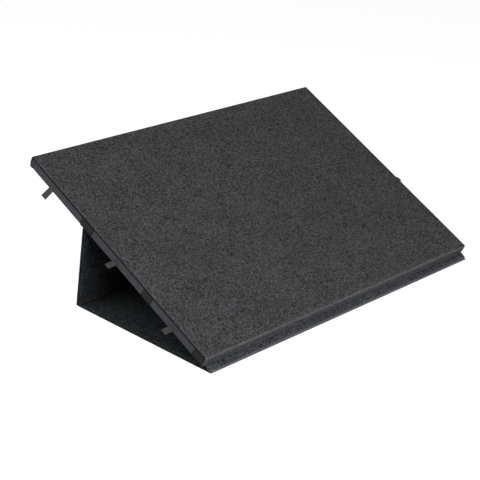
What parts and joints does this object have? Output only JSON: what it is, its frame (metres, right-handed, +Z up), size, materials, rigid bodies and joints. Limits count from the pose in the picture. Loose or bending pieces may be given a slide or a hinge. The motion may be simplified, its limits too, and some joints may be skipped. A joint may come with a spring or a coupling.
{
  "type": "jigsaw puzzle storage case",
  "caption": "Flat felt-covered puzzle board with pull-out sorting trays in both sides and a hinged cover that folds under it as a sloping stand.",
  "frame": {"origin": "centre of the base panel's underside, where the stand rests on the table", "axes": "+X along the case's long side, +Y towards the raised rear edge, +Z up"},
  "size_m": [0.823, 0.4853, 0.2568],
  "materials": {
    "work_felt": "charcoal pressed felt",
    "cover_felt": "charcoal pressed felt",
    "under_felt": "charcoal pressed felt",
    "seam_cloth": "stitched felt",
    "hook_tape": "woven hook tape",
    "tray_front_cloth": "smooth bonded cloth",
    "ribbon": "grosgrain ribbon",
    "tray_felt": "thin felt",
    "tray_card": "black paper-covered board",
    "card": "grey board",
    "fibreboard": "dark stained fibreboard"
  },
  "bodies": {
    "base": {"base_felt": "cover_felt", "base_board": "fibreboard", "base_front_web": "seam_cloth", "base_rear_web": "seam_cloth"},
    "spine": {"spine_felt": "cover_felt", "spine_card": "card"},
    "case": {"top_felt": "work_felt", "top_board": "fibreboard", "bottom_board": "fibreboard", "bottom_felt": "under_felt", "front_rail": "fibreboard", "front_divider": "fibreboard", "rear_divider": "fibreboard", "rear_rail": "fibreboard", "centre_stops": "fibreboard", "case_hinge_cloth": "seam_cloth"},
    "back_panel": {"back_felt": "cover_felt", "back_board": "fibreboard", "hook_tape": "hook_tape"},
    "tray_left_front": {"tray_left_front": "tray_card", "tray_front_left_front": "tray_front_cloth", "tray_lining_left_front": "tray_felt", "tray_ribbon_left_front": "ribbon"},
    "tray_left_middle": {"tray_left_middle": "tray_card", "tray_front_left_middle": "tray_front_cloth", "tray_lining_left_middle": "tray_felt", "tray_ribbon_left_middle": "ribbon"},
    "tray_left_rear": {"tray_left_rear": "tray_card", "tray_front_left_rear": "tray_front_cloth", "tray_lining_left_rear": "tray_felt", "tray_ribbon_left_rear": "ribbon"},
    "tray_right_front": {"tray_right_front": "tray_card", "tray_front_right_front": "tray_front_cloth", "tray_lining_right_front": "tray_felt", "tray_ribbon_right_front": "ribbon"},
    "tray_right_middle": {"tray_right_middle": "tray_card", "tray_front_right_middle": "tray_front_cloth", "tray_lining_right_middle": "tray_felt", "tray_ribbon_right_middle": "ribbon"},
    "tray_right_rear": {"tray_right_rear": "tray_card", "tray_front_right_rear": "tray_front_cloth", "tray_lining_right_rear": "tray_felt", "tray_ribbon_right_rear": "ribbon"}
  },
  "joints": [
    {"name": "spine_fold", "type": "hinge", "parent": "base", "child": "spine", "pos_m": [0, -0.1735, 0.002], "axis": [1, 0, 0], "range_deg": [0, 237]},
    {"name": "case_fold", "type": "hinge", "parent": "spine", "child": "case", "pos_m": [0, -0.15907, 0.01137], "axis": [1, 0, 0], "range_deg": [0, 96.4]},
    {"name": "back_panel_fold", "type": "hinge", "parent": "base", "child": "back_panel", "pos_m": [0, 0.1735, 0.002], "axis": [-1, 0, 0], "range_deg": [0, 95]},
    {"name": "tray_slide_left_front", "type": "slide", "parent": "case", "child": "tray_left_front", "axis": [-1, 0, 0], "range_m": [0, 0.36]},
    {"name": "tray_slide_left_middle", "type": "slide", "parent": "case", "child": "tray_left_middle", "axis": [-1, 0, 0], "range_m": [0, 0.36]},
    {"name": "tray_slide_left_rear", "type": "slide", "parent": "case", "child": "tray_left_rear", "axis": [-1, 0, 0], "range_m": [0, 0.36]},
    {"name": "tray_slide_right_front", "type": "slide", "parent": "case", "child": "tray_right_front", "axis": [1, 0, 0], "range_m": [0, 0.36]},
    {"name": "tray_slide_right_middle", "type": "slide", "parent": "case", "child": "tray_right_middle", "axis": [1, 0, 0], "range_m": [0, 0.36]},
    {"name": "tray_slide_right_rear", "type": "slide", "parent": "case", "child": "tray_right_rear", "axis": [1, 0, 0], "range_m": [0, 0.36]}
  ]
}
